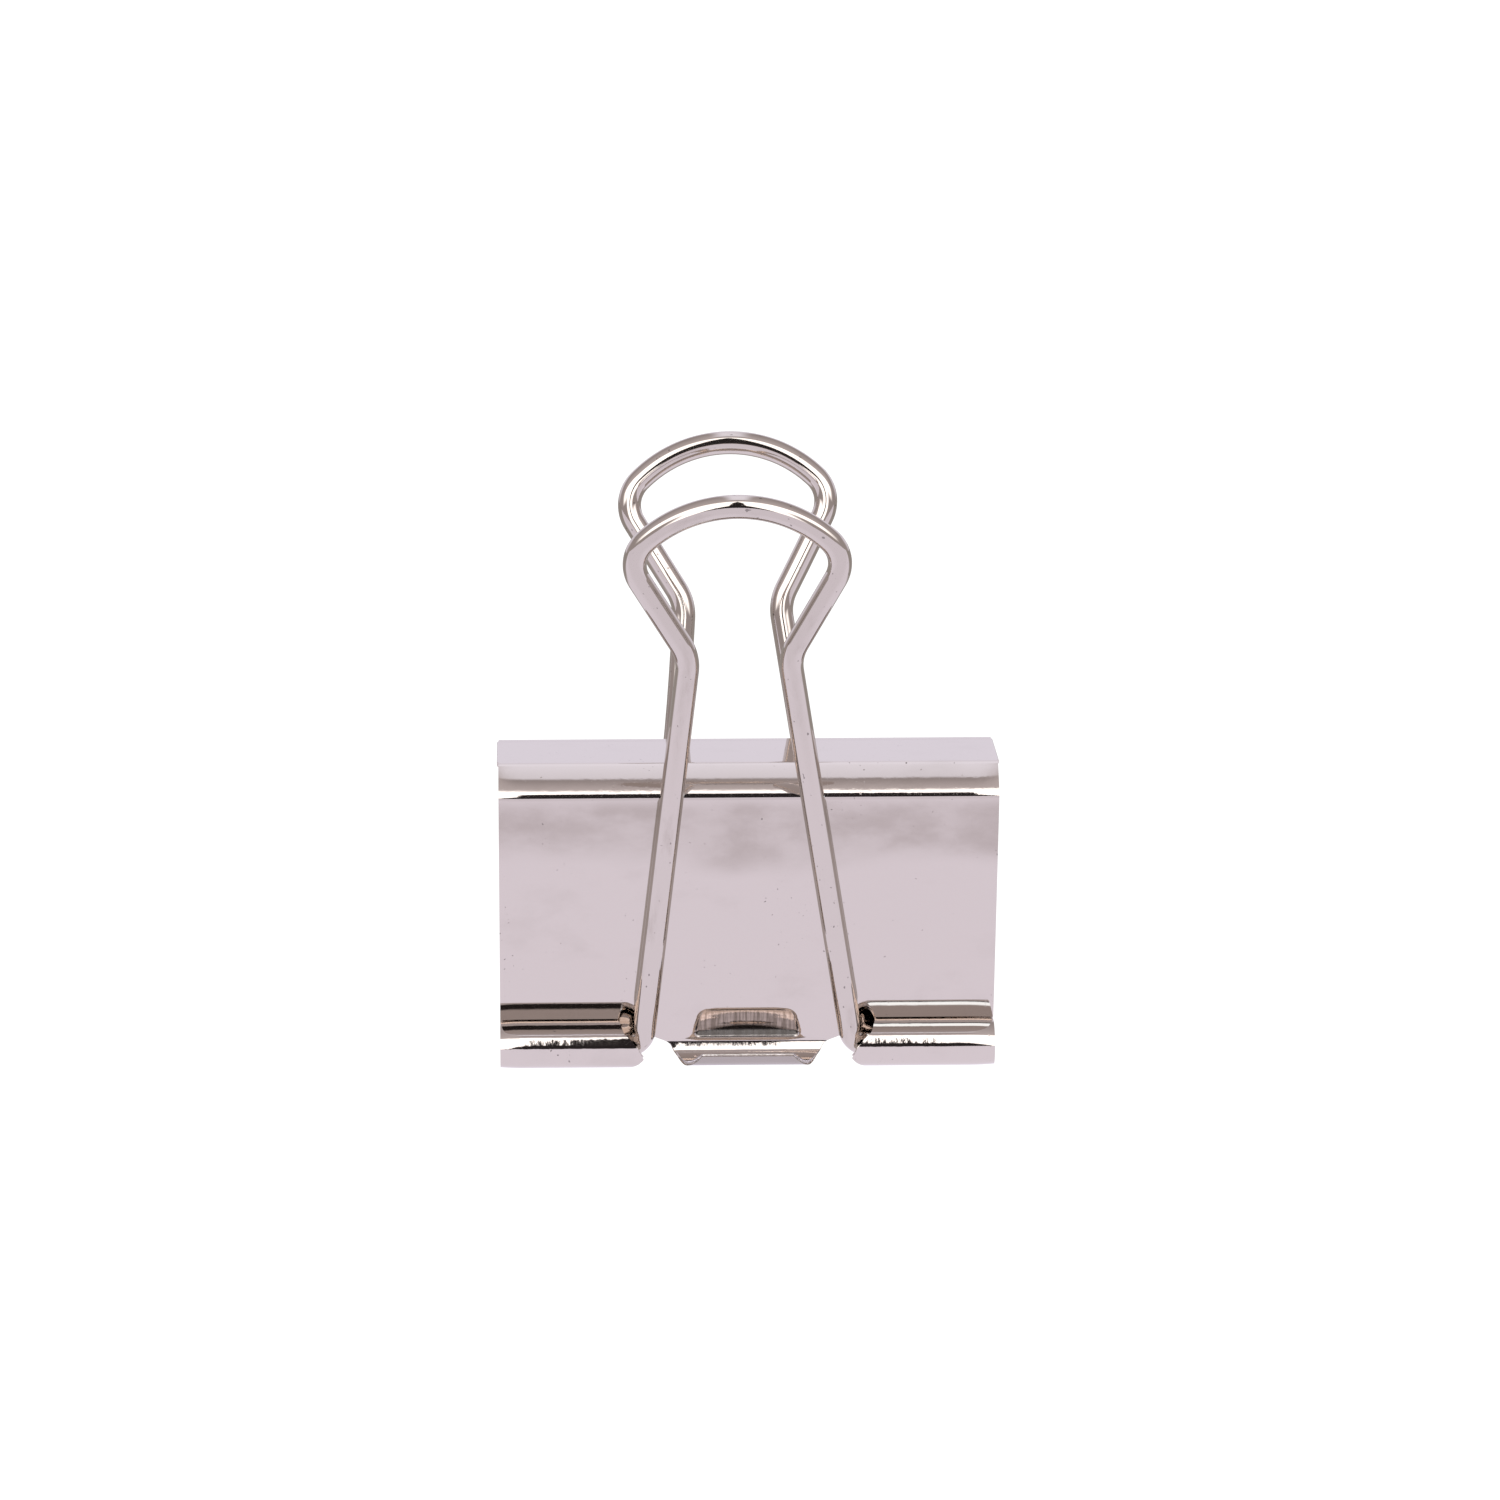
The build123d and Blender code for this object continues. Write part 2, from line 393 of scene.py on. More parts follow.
def on_tongue(x, turn):
    """Where a place on the tongue stands along X and in the section, and its painted shade and skew."""
    place = x * (np.interp(turn, tongue_turns, tongue_halves) - edge_round) / tongue_side
    middle = roll_middle(tongue_arcs, turn) + leaf_normal * flare_reaches[0]
    # Painted shade on the lip's outer face, past a turn of the roll
    painted_shade = lip_shade * np.clip((turn - lip_shade_start) / lip_shade_fade, 0, 1)
    skew = np.interp(place, tongue_skew_places, tongue_skews)
    return place, middle, painted_shade, skew * np.interp(turn, tongue_skew_turns, [1, 0])


def on_curl(x, turn):
    """Where a place on a curl stands along X, and its skew."""
    inner = np.interp(turn, curl_end_turns, curl_end_places) + edge_round
    inset = (outer_side - abs(x)) * (outer_side - inner) / (outer_side - curl_side)
    place = np.sign(x) * (outer_side - inset)
    if x > 0:
        return place, np.interp(turn, right_skew_turns, right_skews)
    skew = np.interp(place, left_skew_places, left_skews)
    return place, skew * np.interp(turn, left_skew_turns, [0, 1, 1, 0])


def jaw_surface():
    """Middle surface of the rear jaw: its points, normals, faces, seam, places on the flat sheet, and
    marks for the material."""
    places, blocks = columns()
    rows = section_rows()
    points, normals, seam, flat, index = [], [], [], [], {}
    marks = {"bent": [], "dent": [], "painted_shade": [], "skew": []}
    length = 0.0
    for r, (point, way, v, turn, bent) in enumerate(rows):
        if r:
            length += np.linalg.norm(point - rows[r - 1][0])
        past_lip = turn > lip_wrap + turn_slack
        for c, x in enumerate(places):
            around = {blocks[max(c - 1, 0)], blocks[min(c, len(blocks) - 1)]}
            if turn and (around == {"notch"} or (past_lip and "curl" not in around)):
                continue
            place, middle = x, point
            depth = arch = dent = painted_shade = skew = 0.0
            if v is not None:
                depth, dent, painted_shade, skew = on_leaf(x, v)
                arch = on_notch(x, v) if "notch" in around else 0.0
            elif turn and "tongue" in around:
                place, middle, painted_shade, skew = on_tongue(x, turn)
            elif turn:
                place, skew = on_curl(x, turn)
            drawn_in = max(0.0, 1 - (half_width - abs(x)) / end_flare_width)
            middle = middle - way * bent * end_flare * drawn_in**2 * (-1 if turn else 1)
            middle = middle - way * depth + leaf_up * arch
            index[r, c] = len(points)
            points.append([place, *middle])
            normals.append([0.0, *way])
            seam.append(r == 0)
            flat.append([place, length, 0.0])
            for key, value in zip(marks, (bent, dent, painted_shade, skew)):
                marks[key].append(value)
    faces = []
    for r in range(len(rows) - 1):
        turn = rows[r + 1][3]
        for c, block in enumerate(blocks):
            if turn and (block == "notch" or (block == "tongue" and turn > lip_wrap + turn_slack)):
                continue
            faces.append([index[r, c], index[r + 1, c], index[r + 1, c + 1], index[r, c + 1]])
    marks = {key: np.array(values) for key, values in marks.items()}
    return np.array(points), np.array(normals), faces, np.array(seam), np.array(flat), marks


def spine_surface():
    """Middle surface of the spine between its two seams, with the same parts as a jaw's."""
    places, _ = columns()
    outs = np.linspace(-seam_out, seam_out, spine_rows)
    level = clip_height - sheet / 2
    points = np.array([[x, out, level] for out in outs for x in places])
    normals = np.tile([0.0, 0.0, 1.0], (len(points), 1))
    wide = len(places)
    faces = [
        [r * wide + c, r * wide + c + 1, (r + 1) * wide + c + 1, (r + 1) * wide + c]
        for r in range(len(outs) - 1)
        for c in range(wide - 1)
    ]
    seam = np.isin(points[:, 1], outs[[0, -1]])
    flat = points * [1, 1, 0]
    return points, normals, faces, seam, flat, {}


def add_sheet(name, surface, side):
    """A piece of the sheet from its middle surface, mirrored to the front where side is -1."""
    points, normals, faces, seam, flat, marks = surface
    made, shell, kinds, sources, sides = thicken(points, normals, faces, seam)
    flat = flat[sources] + np.outer(sides, [0, 0, face_shift]) + [0, 0, side * jaw_shift]
    attributes = {"flat": flat * MM} | {key: values[sources] for key, values in marks.items()}
    return add_piece(name, made * [1, side, 1], shell, [nickel_sheet, cut_edge], kinds, attributes)


def arc(centre, radius, start, end, step=arc_step):
    """Points on an arc between two angles in degrees."""
    count = max(2, round(abs(end - start) / step))
    return [centre + radius * at(a) for a in np.linspace(start, end, count + 1)]


def rounded(before, corner, after, radius):
    """Points of the arc that rounds a corner."""
    one, two = ((p - corner) / np.linalg.norm(p - corner) for p in (before, after))
    half = acos(float(one @ two)) / 2
    middle = (one + two) / np.linalg.norm(one + two)
    centre = corner + middle * radius / sin(half)
    ends = [corner + way * radius / tan(half) - centre for way in (one, two)]
    start, end = (degrees(atan2(p[1], p[0])) for p in ends)
    return arc(centre, radius, start, start + (end - start + 180) % 360 - 180)


def eased(values, start, end):
    """Where values stand between a start and an end, from 0 to 1 with no kink."""
    part = np.clip((values - start) / (end - start), 0, 1)
    return part**2 * (3 - 2 * part)


def wire_route(side):
    """Middle line of a handle in its own plane, from the right foot's end to the left foot's."""
    height = shoulder_height + crown_height
    neck_lean, loop_lean = (handle_lean * h / height for h in (leg_height, shoulder_height))
    offset = loop_width / 2 - shoulder_radius
    crown_rise = crown_height - shoulder_radius
    crown_radius = (offset**2 + crown_height**2 - shoulder_radius**2) / (2 * crown_rise)
    crown_half = degrees(asin(offset / (crown_radius - shoulder_radius)))
    halves = []
    for hand in (1, -1):
        shoulder = np.array([hand * offset + loop_lean, shoulder_height])
        neck = np.array([hand * neck_spacing / 2 + neck_lean, leg_height])
        to_neck = neck - shoulder
        touch = degrees(atan2(to_neck[1], to_neck[0]) + hand * acos(shoulder_radius / hypot(*to_neck)))
        flare_top = shoulder + shoulder_radius * at(touch)
        foot = np.array([hand * foot_spacing / 2, 0.0])
        foot_end = foot + [hand * foot_length, 0]
        turn = (90 - hand * crown_half - touch + 180) % 360 - 180
        run = [foot_end]
        run += rounded(foot_end, foot, neck, foot_bend_radius)
        run += rounded(foot, neck, flare_top, neck_bend_radius)
        run += arc(shoulder, shoulder_radius, touch, touch + turn)
        halves.append(run)
    crown_centre = np.array([loop_lean, height - crown_radius])
    crown = arc(crown_centre, crown_radius, 90 - crown_half, 90 + crown_half, crown_step)
    corners = np.array(halves[0] + crown[1:-1] + halves[1][::-1])
    runs = [
        np.linspace(a, b, 1 + int(hypot(*(b - a)) / route_step), endpoint=False)
        for a, b in zip(corners, corners[1:])
    ]
    route = np.vstack([*runs, corners[-1:]])

    heights = route[:, 1].copy()
    lift_left, lift_right = loop_lifts[side]
    across = np.clip((route[:, 0] - loop_lean) / loop_width + 0.5, 0, 1)
    lifts = lift_left + (lift_right - lift_left) * across
    route[:, 1] += eased(heights, leg_height, shoulder_height) * lifts
    bowed = eased(heights, 0.0, bow_widest) * eased(heights, bow_end, bow_widest)
    route[:, 0] += leg_bows[side] * bowed * (route[:, 0] < loop_lean)
    steps = np.linalg.norm(np.diff(route, axis=0), axis=1)
    return route[np.concatenate([[True], steps > least_step])]


def add_wire(name, side):
    """A handle: a round wire along its route, with eased ends, on the front where side is -1."""
    route = wire_route(side)
    ways = np.diff(route, axis=0)
    ways /= np.linalg.norm(ways, axis=1)[:, None]
    tangents = np.vstack([ways[:1], ways[:-1] + ways[1:], ways[-1:]])
    tangents /= np.linalg.norm(tangents, axis=1)[:, None]
    for end, beside, inwards in ((0, 1, 1), (-1, -1, -1)):
        full = route[end] + inwards * tangents[end] * wire_chamfer
        route = np.insert(route, beside, full, axis=0)
        tangents = np.insert(tangents, beside, tangents[end], axis=0)
    radii = np.full(len(route), wire_radius)
    radii[[0, -1]] -= wire_chamfer
    lengths = np.concatenate([[0], np.cumsum(np.linalg.norm(np.diff(route, axis=0), axis=1))])

    across = np.array([0, cos(leg_lean), -sin(leg_lean)])
    upwards = np.array([0, sin(leg_lean), cos(leg_lean)])
    points, around = [], []
    for (u, v), (tu, tv), radius, length in zip(route, tangents, radii, lengths):
        middle = np.array([u, *curl_centre]) + upwards * v
        inplane = np.array([-tv, 0, 0]) + upwards * tu
        for k in range(wire_sides):
            angle = 2 * pi * k / wire_sides
            points.append(middle + (inplane * cos(angle) + across * sin(angle)) * radius)
            round_wire = [cos(angle) * wire_radius, sin(angle) * wire_radius]
            around.append([*round_wire, length + handle_shift * side])
    rings = [list(range(start, start + wire_sides)) for start in range(0, len(points), wire_sides)]
    faces = []
    for one, two in zip(rings, rings[1:]):
        for k in range(wire_sides):
            after = (k + 1) % wire_sides
            faces.append([one[k], one[after], two[after], two[k]])
    faces += [rings[0][::-1], rings[-1]]
    attributes = {"wire": np.array(around) * MM}
    return add_piece(name, np.array(points) * [1, side, 1], faces, [nickel_wire], None, attributes)


def add_node(tree, kind, inputs=None, **settings):
    """A shader node with its settings, and inputs given as values or as other nodes' outputs."""
    node = tree.nodes.new(kind)
    for key, value in settings.items():
        setattr(node, key, value)
    for key, value in (inputs or {}).items():
        if isinstance(value, bpy.types.NodeSocket):
            tree.links.new(value, node.inputs[key])
        else:
            node.inputs[key].default_value = value
    return node


def maths(tree, operation, a, b=0.0):
    """Result of a math node on two values."""
    return add_node(tree, "ShaderNodeMath", {0: a, 1: b}, operation=operation).outputs[0]


def scaled(tree, value, factor, offset=0.0):
    """A value times a factor, plus an offset."""
    return maths(tree, "ADD", maths(tree, "MULTIPLY", value, factor), offset)


def share(tree, value, low, high):
    """Where a value stands between two others, from 0 to 1."""
    inputs = {0: value, 1: low, 2: high, 3: 0.0, 4: 1.0}
    return add_node(tree, "ShaderNodeMapRange", inputs, interpolation_type="SMOOTHSTEP").outputs[0]


def mix(tree, factor, a, b):
    """Colour mixed between two others, each an output or a colour's three parts."""
    a, b = (c if isinstance(c, bpy.types.NodeSocket) else (*c, 1.0) for c in (a, b))
    return add_node(tree, "ShaderNodeMix", {"Factor": factor, 6: a, 7: b}, data_type="RGBA").outputs[2]


def ramp(tree, value, stops):
    """Colour from a value, by stops of place and colour."""
    node = add_node(tree, "ShaderNodeValToRGB", {"Fac": value})
    elements = node.color_ramp.elements
    while len(elements) < len(stops):
        elements.new(0.5)
    for element, (place, colour) in zip(elements, stops):
        element.position = place
        element.color = (*colour, 1.0)
    return node.outputs["Color"]


def vector_maths(tree, operation, a, b=(0.0, 0.0, 0.0)):
    """Result of a vector math node on two vectors."""
    return add_node(tree, "ShaderNodeVectorMath", {0: a, 1: b}, operation=operation).outputs[0]


def attribute(tree, name, output="Fac"):
    """A value that the mesh has at each point."""
    return add_node(tree, "ShaderNodeAttribute", attribute_name=name).outputs[output]


def noise(tree, vector, grain, detail=2.0, roughness=0.5):
    """Noise with its own number of spots per metre along each axis of a vector."""
    vector = vector_maths(tree, "MULTIPLY", vector, grain)
    inputs = {"Vector": vector, "Scale": 1.0, "Detail": detail, "Roughness": roughness}
    return add_node(tree, "ShaderNodeTexNoise", inputs).outputs[0]


def bump(tree, height, distance, before=None):
    """Normal shifted by a height from 0 to 1 that stands for a distance in metres."""
    inputs = {"Height": height, "Distance": distance, "Strength": 1.0}
    if before is not None:
        inputs["Normal"] = before
    return add_node(tree, "ShaderNodeBump", inputs).outputs[0]


def new_metal(name):
    """A metal material and its node tree."""
    material = bpy.data.materials.new(name)
    material.use_nodes = True
    material.node_tree.nodes["Principled BSDF"].inputs["Metallic"].default_value = 1.0
    return material, material.node_tree


def finish_metal(tree, colour, roughness, normal):
    """Gives a metal material its colour, roughness and normal."""
    inputs = tree.nodes["Principled BSDF"].inputs
    for key, value in (("Base Color", colour), ("Roughness", roughness), ("Normal", normal)):
        tree.links.new(value, inputs[key])


# Colours of the plate and of the marks on it
NICKEL = (0.64, 0.585, 0.535)
WIRE = (0.614, 0.56, 0.508)
# Tarnish on the wire's scuffs, and on the jaws a painted darker reflection of the floor further in front
PAINTED_REFLECTION_AND_TARNISH = (0.465, 0.415, 0.368)
# Painted shade in the dimple's fold, on its lower wall and on the lip
PAINTED_SHADE = (0.15, 0.137, 0.125)
PIT = (0.16, 0.14, 0.13)
# Near-black painted shade, deepest in the dimple's fold
PAINTED_DEEP_SHADE = (0.03, 0.027, 0.025)
RUBBED = (0.97, 0.91, 0.89)
SMEARED = (0.56, 0.51, 0.48)
EDGE_DULL = (0.45, 0.41, 0.38)
EDGE_BRIGHT = (0.86, 0.82, 0.80)

# Spots per metre of its patterns: across, down and between the faces of the flat sheet, and round and
# along the wire
cloud_grain = (160, 230, 160)
drift_grain = (60, 90, 60)
streak_grain = (3000, 200, 400)
pit_grain = (2600, 2600, 2600)
pit_group_grain = (220, 220, 220)
scratch_grain = (5200, 45, 400)
wave_grain = (90, 120, 90)
patch_grain = (130, 60, 60)
peel_grain = (800, 900, 800)
dent_line_grain = (3800, 260, 400)
edge_grain = (2400, 2400, 2400)
wire_line_grain = (4200, 4200, 55)
scuff_grain = (500, 500, 160)
wire_pit_grain = (2400, 2400, 1500)
wire_wave_grain = (250, 250, 110)

# Their heights
wave_height = 1.2e-5
peel_height = 1.5e-5
dent_line_height = 5e-5
pit_height = 6e-6
edge_height = 3e-5
wire_line_height = 3e-6
wire_wave_height = 1e-5

# Roughness of the bare plate and of the cut edge, and what a mark adds to it
bare_roughness, edge_roughness = 0.05, 0.2
haze_roughness = 0.05
line_roughness = 0.05
smudge_roughness = 0.06
painted_shade_roughness = 0.22
pit_roughness = 0.25
edge_spot_roughness = 0.3

# A painted darker reflection high on the jaws, of the floor further in front: the distances down the
# sheet over which it starts and ends, how far its lower end drifts, and its strength on the clear and the
# cloudy patches
painted_reflection_start, painted_reflection_end = (0.0042, 0.0062), (0.0085, 0.0135)
painted_reflection_drift = 0.012
clear_painted_reflection, cloudy_painted_reflection = 0.35, 0.95
stray_haze = 0.2
# How strongly pits and smudges show, and the orange peel between its patches
pit_strength, wire_pit_strength = 0.8, 0.7
smudge_strength = 0.6
least_peel = 0.2


def make_nickel_sheet():
    """Polished nickel plate: a painted darker reflection high on the jaws in cloudy patches, stray cloudy
    patches of tone, a rubbed dimple with painted shade in its fold and on its lower wall, painted shade on
    the lip, pits, fine upright scratches, and a slight orange peel where the sheet is bent."""
    material, tree = new_metal("nickel_sheet")
    flat = attribute(tree, "flat", "Vector")
    bent, dent, painted_shade, skew = (attribute(tree, name) for name in ("bent", "dent", "painted_shade", "skew"))
    down = add_node(tree, "ShaderNodeSeparateXYZ", {0: flat}).outputs[1]

    clouds = noise(tree, flat, cloud_grain, 4.0, 0.55)
    # Painted darker reflection high on the jaws, in cloudy patches, with stray cloudy patches of tone
    # elsewhere
    drift = maths(tree, "SUBTRACT", noise(tree, flat, drift_grain), 0.5)
    past_painted_reflection = share(tree, scaled(tree, drift, painted_reflection_drift, down), *painted_reflection_end)
    high = maths(tree, "MULTIPLY", maths(tree, "SUBTRACT", 1.0, past_painted_reflection), share(tree, down, *painted_reflection_start))
    patchy = scaled(tree, share(tree, clouds, 0.3, 0.7), cloudy_painted_reflection - clear_painted_reflection, clear_painted_reflection)
    stray = maths(tree, "MULTIPLY", share(tree, clouds, 0.5, 0.8), stray_haze)
    painted_reflection_and_haze = maths(tree, "MAXIMUM", maths(tree, "MULTIPLY", high, patchy), stray)
    streaks = share(tree, noise(tree, flat, streak_grain), 0.42, 0.6)
    pits = share(tree, noise(tree, flat, pit_grain, 1.0), 0.71, 0.76)
    pits = maths(tree, "MULTIPLY", pits, share(tree, noise(tree, flat, pit_group_grain), 0.54, 0.64))
    scratches = share(tree, noise(tree, flat, scratch_grain), 0.6, 0.75)

    # The jaws are painted darker high up, in place of a dimmer reflection of the floor further in front
    colour = mix(tree, painted_reflection_and_haze, NICKEL, PAINTED_REFLECTION_AND_TARNISH)
    colour = mix(tree, share(tree, dent, 0.0, 0.3), colour, mix(tree, streaks, RUBBED, SMEARED))
    # Painted shade in the dimple's fold, on its lower wall and on the lip, near-black deep in the fold
    colour = mix(tree, painted_shade, colour, PAINTED_SHADE)
    colour = mix(tree, share(tree, painted_shade, 0.6, 1.0), colour, PAINTED_DEEP_SHADE)
    colour = mix(tree, maths(tree, "MULTIPLY", pits, pit_strength), colour, PIT)

    roughness = scaled(tree, painted_reflection_and_haze, haze_roughness, bare_roughness)
    roughness = scaled(tree, scratches, line_roughness, roughness)
    roughness = scaled(tree, pits, pit_roughness, roughness)
    roughness = scaled(tree, painted_shade, painted_shade_roughness, roughness)

    lean = add_node(tree, "ShaderNodeCombineXYZ", {0: skew}).outputs[0]
    normal = add_node(tree, "ShaderNodeNewGeometry").outputs["Normal"]
    normal = vector_maths(tree, "NORMALIZE", vector_maths(tree, "ADD", normal, lean))
    normal = bump(tree, noise(tree, flat, wave_grain, 1.0), wave_height, normal)
    patches = share(tree, noise(tree, flat, patch_grain, 1.0), 0.4, 0.62)
    peel = maths(tree, "MULTIPLY", noise(tree, flat, peel_grain, 3.0), bent)
    peel = maths(tree, "MULTIPLY", peel, scaled(tree, patches, 1 - least_peel, least_peel))
    normal = bump(tree, peel, peel_height, normal)
    dent_lines = maths(tree, "MULTIPLY", noise(tree, flat, dent_line_grain), dent)
    normal = bump(tree, dent_lines, dent_line_height, normal)
    normal = bump(tree, maths(tree, "SUBTRACT", 1.0, pits), pit_height, normal)
    finish_metal(tree, colour, roughness, normal)
    return material


def make_cut_edge():
    """The sheet's sheared edge: plated over, but rough and bright in spots."""
    material, tree = new_metal("cut_edge")
    spots = noise(tree, attribute(tree, "flat", "Vector"), edge_grain, 3.0)
    colour = mix(tree, share(tree, spots, 0.4, 0.62), EDGE_DULL, EDGE_BRIGHT)
    roughness = scaled(tree, spots, edge_spot_roughness, edge_roughness)
    finish_metal(tree, colour, roughness, bump(tree, spots, edge_height))
    return material


def make_nickel_wire():
    """Polished nickel plate on drawn wire: faint drawing lines along it, a few scuffs and pits."""
    material, tree = new_metal("nickel_wire")
    place = attribute(tree, "wire", "Vector")
    lines = noise(tree, place, wire_line_grain)
    smudge = share(tree, noise(tree, place, scuff_grain, 4.0, 0.6), 0.52, 0.78)
    pits = share(tree, noise(tree, place, wire_pit_grain, 1.0), 0.72, 0.77)

    colour = mix(tree, maths(tree, "MULTIPLY", smudge, smudge_strength), WIRE, PAINTED_REFLECTION_AND_TARNISH)
    colour = mix(tree, maths(tree, "MULTIPLY", pits, wire_pit_strength), colour, PIT)
    roughness = scaled(tree, smudge, smudge_roughness, bare_roughness)
    roughness = scaled(tree, share(tree, lines, 0.55, 0.8), line_roughness, roughness)
    normal = bump(tree, lines, wire_line_height)
    normal = bump(tree, noise(tree, place, wire_wave_grain, 1.0), wire_wave_height, normal)
    finish_metal(tree, colour, roughness, normal)
    return material


nickel_sheet = make_nickel_sheet()
cut_edge = make_cut_edge()
nickel_wire = make_nickel_wire()

# The sheet and the wires in place of the part's nodes; the spine and the handles each on the body of the
# node that it replaces
spine = add_sheet("spine_sheet", spine_surface(), 1)
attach(spine, "spine")
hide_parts("spine_plate")

surface = jaw_surface()
for side, place in ((-1, "front"), (1, "rear")):
    jaw = add_sheet(f"{place}_jaw_sheet", surface, side)
    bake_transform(jaw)
    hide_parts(f"{place}_jaw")
    handle = add_wire(f"{place}_handle_wire", side)
    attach(handle, f"{place}_handle")
    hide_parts(f"{place}_handle")

# White floor that glows evenly, as the photograph shows no shadow. The metal reflects it, near and further
# in front, dimmer far behind the clip, and dimmer between two facing pieces of metal. The camera looks
# through it onto the same white, so that handles swung down below it stay in view.
floor_half = 30.0
floor_drop = 2e-5
floor_strength = 1.12
FLOOR_NEAR = (0.91, 0.865, 1.005)
FLOOR_FRONT = (0.84, 0.795, 0.915)
FLOOR_BEHIND = (0.38, 0.35, 0.345)
FLOOR_BETWEEN = (0.66, 0.63, 0.70)
# Where these change, in metres from the clip's middle or its edge, and in bounces
floor_front_fade = 0.035, 0.075
floor_behind_fade = -0.01, 0.03
floor_away_fade = 0.04, 0.08
floor_bounces = 1.5


def make_floor():
    """The floor, a glowing plane just under the clip."""
    mesh = bpy.data.meshes.new("floor")
    corners = [(-1, -1), (1, -1), (1, 1), (-1, 1)]
    points = [(x * floor_half, y * floor_half, -floor_drop) for x, y in corners]
    mesh.from_pydata(points, [], [(0, 1, 2, 3)])
    floor = bpy.data.objects.new("floor", mesh)
    bpy.context.scene.collection.objects.link(floor)
    floor.visible_camera = False

    material = bpy.data.materials.new("white_floor")
    material.use_nodes = True
    tree = material.node_tree
    tree.nodes.remove(tree.nodes["Principled BSDF"])
    spot = add_node(tree, "ShaderNodeTexCoord").outputs["Object"]
    x, y, _ = add_node(tree, "ShaderNodeSeparateXYZ", {0: spot}).outputs
    beside = maths(tree, "SUBTRACT", maths(tree, "ABSOLUTE", x), half_width * MM)
    beside = maths(tree, "POWER", maths(tree, "MAXIMUM", beside, 0.0), 2.0)
    away = maths(tree, "SQRT", maths(tree, "ADD", beside, maths(tree, "POWER", y, 2.0)))
    far_behind = maths(
        tree, "MULTIPLY", share(tree, y, *floor_behind_fade), share(tree, away, *floor_away_fade)
    )
    in_front = share(tree, maths(tree, "MULTIPLY", y, -1.0), *floor_front_fade)
    bounces = add_node(tree, "ShaderNodeLightPath").outputs["Ray Depth"]
    between = maths(tree, "GREATER_THAN", bounces, floor_bounces)
    colour = mix(tree, in_front, FLOOR_NEAR, FLOOR_FRONT)
    colour = mix(tree, far_behind, colour, FLOOR_BEHIND)
    colour = mix(tree, between, colour, FLOOR_BETWEEN)
    glow = add_node(tree, "ShaderNodeEmission", {"Color": colour, "Strength": floor_strength})
    tree.links.new(glow.outputs[0], tree.nodes["Material Output"].inputs["Surface"])
    mesh.materials.append(material)
    return floor


floor = make_floor()

# Tent of light round the clip, as colours by the angle from the horizon in front, over the top, to the
# one behind. Along the middle it is pale grey behind and overhead, with a dim roof in front and a bright
# strip under that. Off the middle the roof is dim all over, and both sides are plain.
tent_strength = 2.3
DARK = (0.012, 0.010, 0.011)
STRIP = (1.0, 0.98, 1.0)
ROOF_FRONT = (0.30, 0.272, 0.285)
ROOF = (0.175, 0.155, 0.161)
OVERHEAD_LOW = (0.43, 0.42, 0.475)
OVERHEAD = (0.50, 0.495, 0.57)
BACK = (0.395, 0.378, 0.432)
SIDE = (0.20, 0.178, 0.183)
HOLLOW = (0.272, 0.249, 0.268)
LINE = (1.0, 1.15, 1.33)
DEEP = (0.95, 0.87, 0.90)
middle_stops = [
    (0, STRIP),
    (60, STRIP),
    (62.5, ROOF_FRONT),
    (73.5, ROOF),
    (75.5, OVERHEAD_LOW),
    (95, OVERHEAD),
    (120, OVERHEAD),
    (155, BACK),
    (180, BACK),
]
outer_stops = [(0, STRIP), (57, STRIP), (62, ROOF_FRONT), (140, ROOF), (155, BACK), (180, BACK)]
middle_place, middle_fade = 0.03, (0.04, 0.15)
side_fade = 0.75, 0.95
low_side_fade, low_side_angles = (0.36, 0.5), (22, 34)
# A dark gap low in front stands highest in the middle and falls away to both sides: its height, as a share
# of half a turn, by place along X
gap_sunk, gap_soft = 0.02, 0.012
gap_start = -0.3
gap_heights = [
    (-0.24, 0.0),
    (-0.14, 0.07),
    (-0.045, 0.13),
    (-0.03, 0.275),
    (0.02, 0.345),
    (0.075, 0.275),
    (0.09, 0.13),
    (0.18, 0.07),
    (0.28, 0.0),
]
# Between two facing pieces of metal the tent is seen as one dim roof over a dark line, which is white on
# the right, and deeper in a hollow as an even glow
hollow_stops = [(0, DARK), (25, DARK), (33, HOLLOW), (140, HOLLOW), (155, BACK)]
white_stops = [(0, DARK), (3, DARK), (7, LINE), (19, LINE), (24, HOLLOW), (180, HOLLOW)]
white_start, white_end = (0.12, 0.17), (0.45, 0.55)
hollow_bounces, deep_bounces = 2.5, 3.5
# Handles that hang below the floor stand over a dim ground
ground_fade = 0.01, 0.04


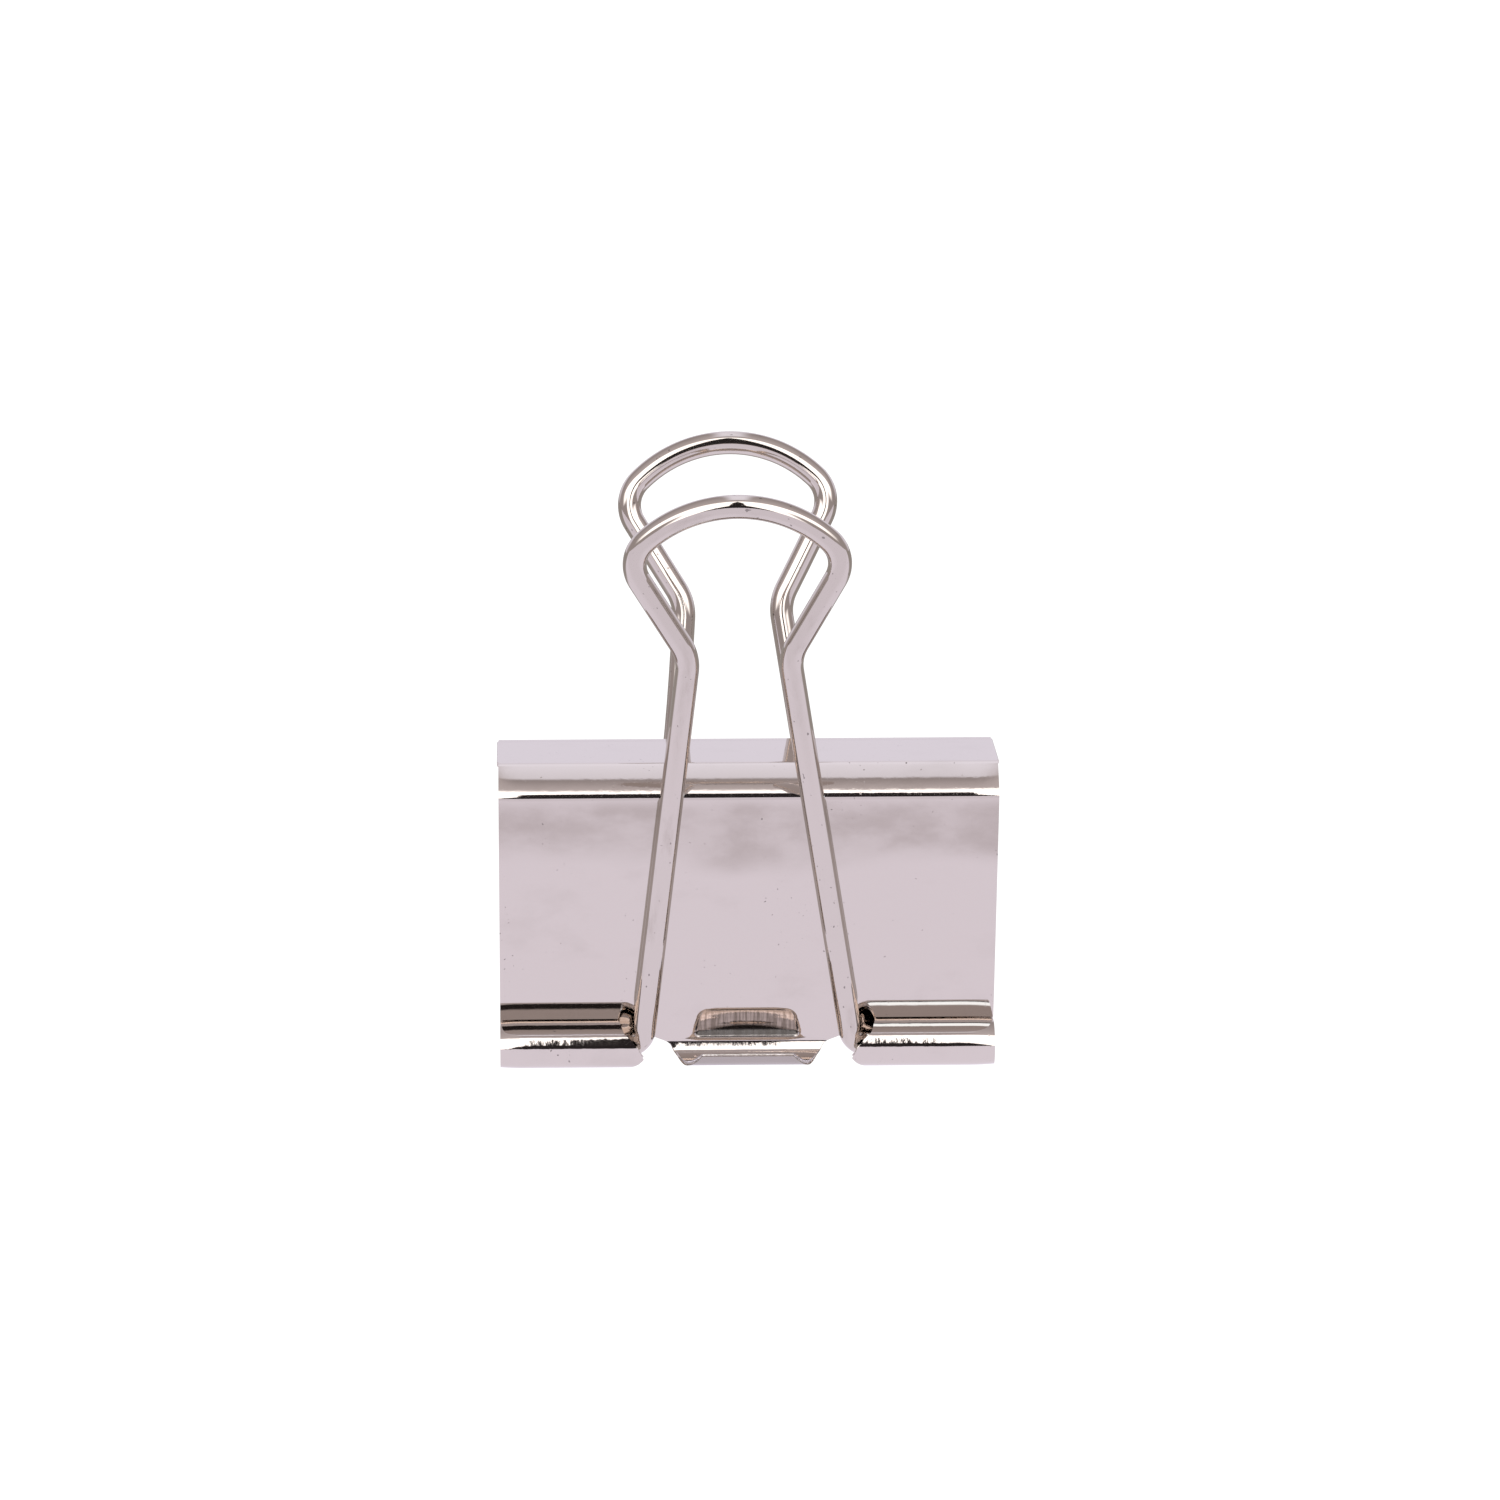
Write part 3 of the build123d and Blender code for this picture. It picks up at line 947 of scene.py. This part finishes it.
def make_tent():
    """The world, lit by the tent, and white where the camera looks straight at it."""
    world = bpy.data.worlds.new("light_tent")
    world.use_nodes = True
    tree = world.node_tree
    direction = add_node(tree, "ShaderNodeTexCoord").outputs["Generated"]
    x, y, z = add_node(tree, "ShaderNodeSeparateXYZ", {0: direction}).outputs
    turn = maths(tree, "ARCTAN2", z, maths(tree, "MULTIPLY", y, -1.0))
    turn = maths(tree, "DIVIDE", turn, pi)
    path = add_node(tree, "ShaderNodeLightPath").outputs

    def by_angle(stops):
        """Colour of the tent by stops of angle and colour."""
        return ramp(tree, turn, [(angle / 180, colour) for angle, colour in stops])

    off_middle = maths(tree, "ABSOLUTE", maths(tree, "SUBTRACT", x, middle_place))
    outer = share(tree, off_middle, *middle_fade)
    tent = mix(tree, outer, by_angle(middle_stops), by_angle(outer_stops))
    aside = maths(tree, "ABSOLUTE", x)
    high = share(tree, turn, *(angle / 180 for angle in low_side_angles))
    low_side = maths(tree, "SUBTRACT", 1.0, high)
    low_side = maths(tree, "MULTIPLY", low_side, share(tree, aside, *low_side_fade))
    sides = maths(tree, "MAXIMUM", low_side, share(tree, aside, *side_fade))
    tent = mix(tree, sides, tent, SIDE)

    along = maths(tree, "SUBTRACT", x, gap_start)
    gap_top = ramp(tree, along, [(place - gap_start, (height,) * 3) for place, height in gap_heights])
    over_gap = maths(tree, "SUBTRACT", turn, maths(tree, "SUBTRACT", gap_top, gap_sunk))
    tent = mix(tree, share(tree, over_gap, -gap_soft, gap_soft), DARK, tent)

    to_right = maths(tree, "SUBTRACT", share(tree, x, *white_start), share(tree, x, *white_end))
    hollow = mix(tree, to_right, by_angle(hollow_stops), by_angle(white_stops))
    tent = mix(tree, maths(tree, "GREATER_THAN", path["Ray Depth"], hollow_bounces), tent, hollow)
    tent = mix(tree, maths(tree, "GREATER_THAN", path["Ray Depth"], deep_bounces), tent, DEEP)
    tent = mix(tree, share(tree, maths(tree, "MULTIPLY", z, -1.0), *ground_fade), tent, ROOF)

    seen_white = (floor_strength / tent_strength,) * 3
    background = tree.nodes["Background"].inputs
    background["Strength"].default_value = tent_strength
    tree.links.new(mix(tree, path["Is Camera Ray"], tent, seen_white), background["Color"])
    return world


bpy.context.scene.world = make_tent()

# Camera where the photograph was taken from
camera_azimuth, camera_elevation = radians(-1.756), radians(11.713)
camera_distance = 0.76129
camera_target = Vector((0.000352, 0, 0.032609))
sensor_width, focal_length = 36.0, 178.75
clip_near, clip_far = 0.01, 100.0


def make_camera():
    """The camera, turned to its target."""
    level = cos(camera_elevation)
    back = Vector((sin(camera_azimuth) * level, -cos(camera_azimuth) * level, sin(camera_elevation)))
    data = bpy.data.cameras.new("camera")
    data.sensor_width = sensor_width
    data.lens = focal_length
    data.clip_start, data.clip_end = clip_near, clip_far
    camera = bpy.data.objects.new("camera", data)
    camera.location = camera_target + back * camera_distance
    camera.rotation_mode = "QUATERNION"
    camera.rotation_quaternion = (-back).to_track_quat("-Z", "Y")
    bpy.context.scene.collection.objects.link(camera)
    return camera


bpy.context.scene.camera = make_camera()
bpy.context.scene.view_settings.view_transform = "Standard"
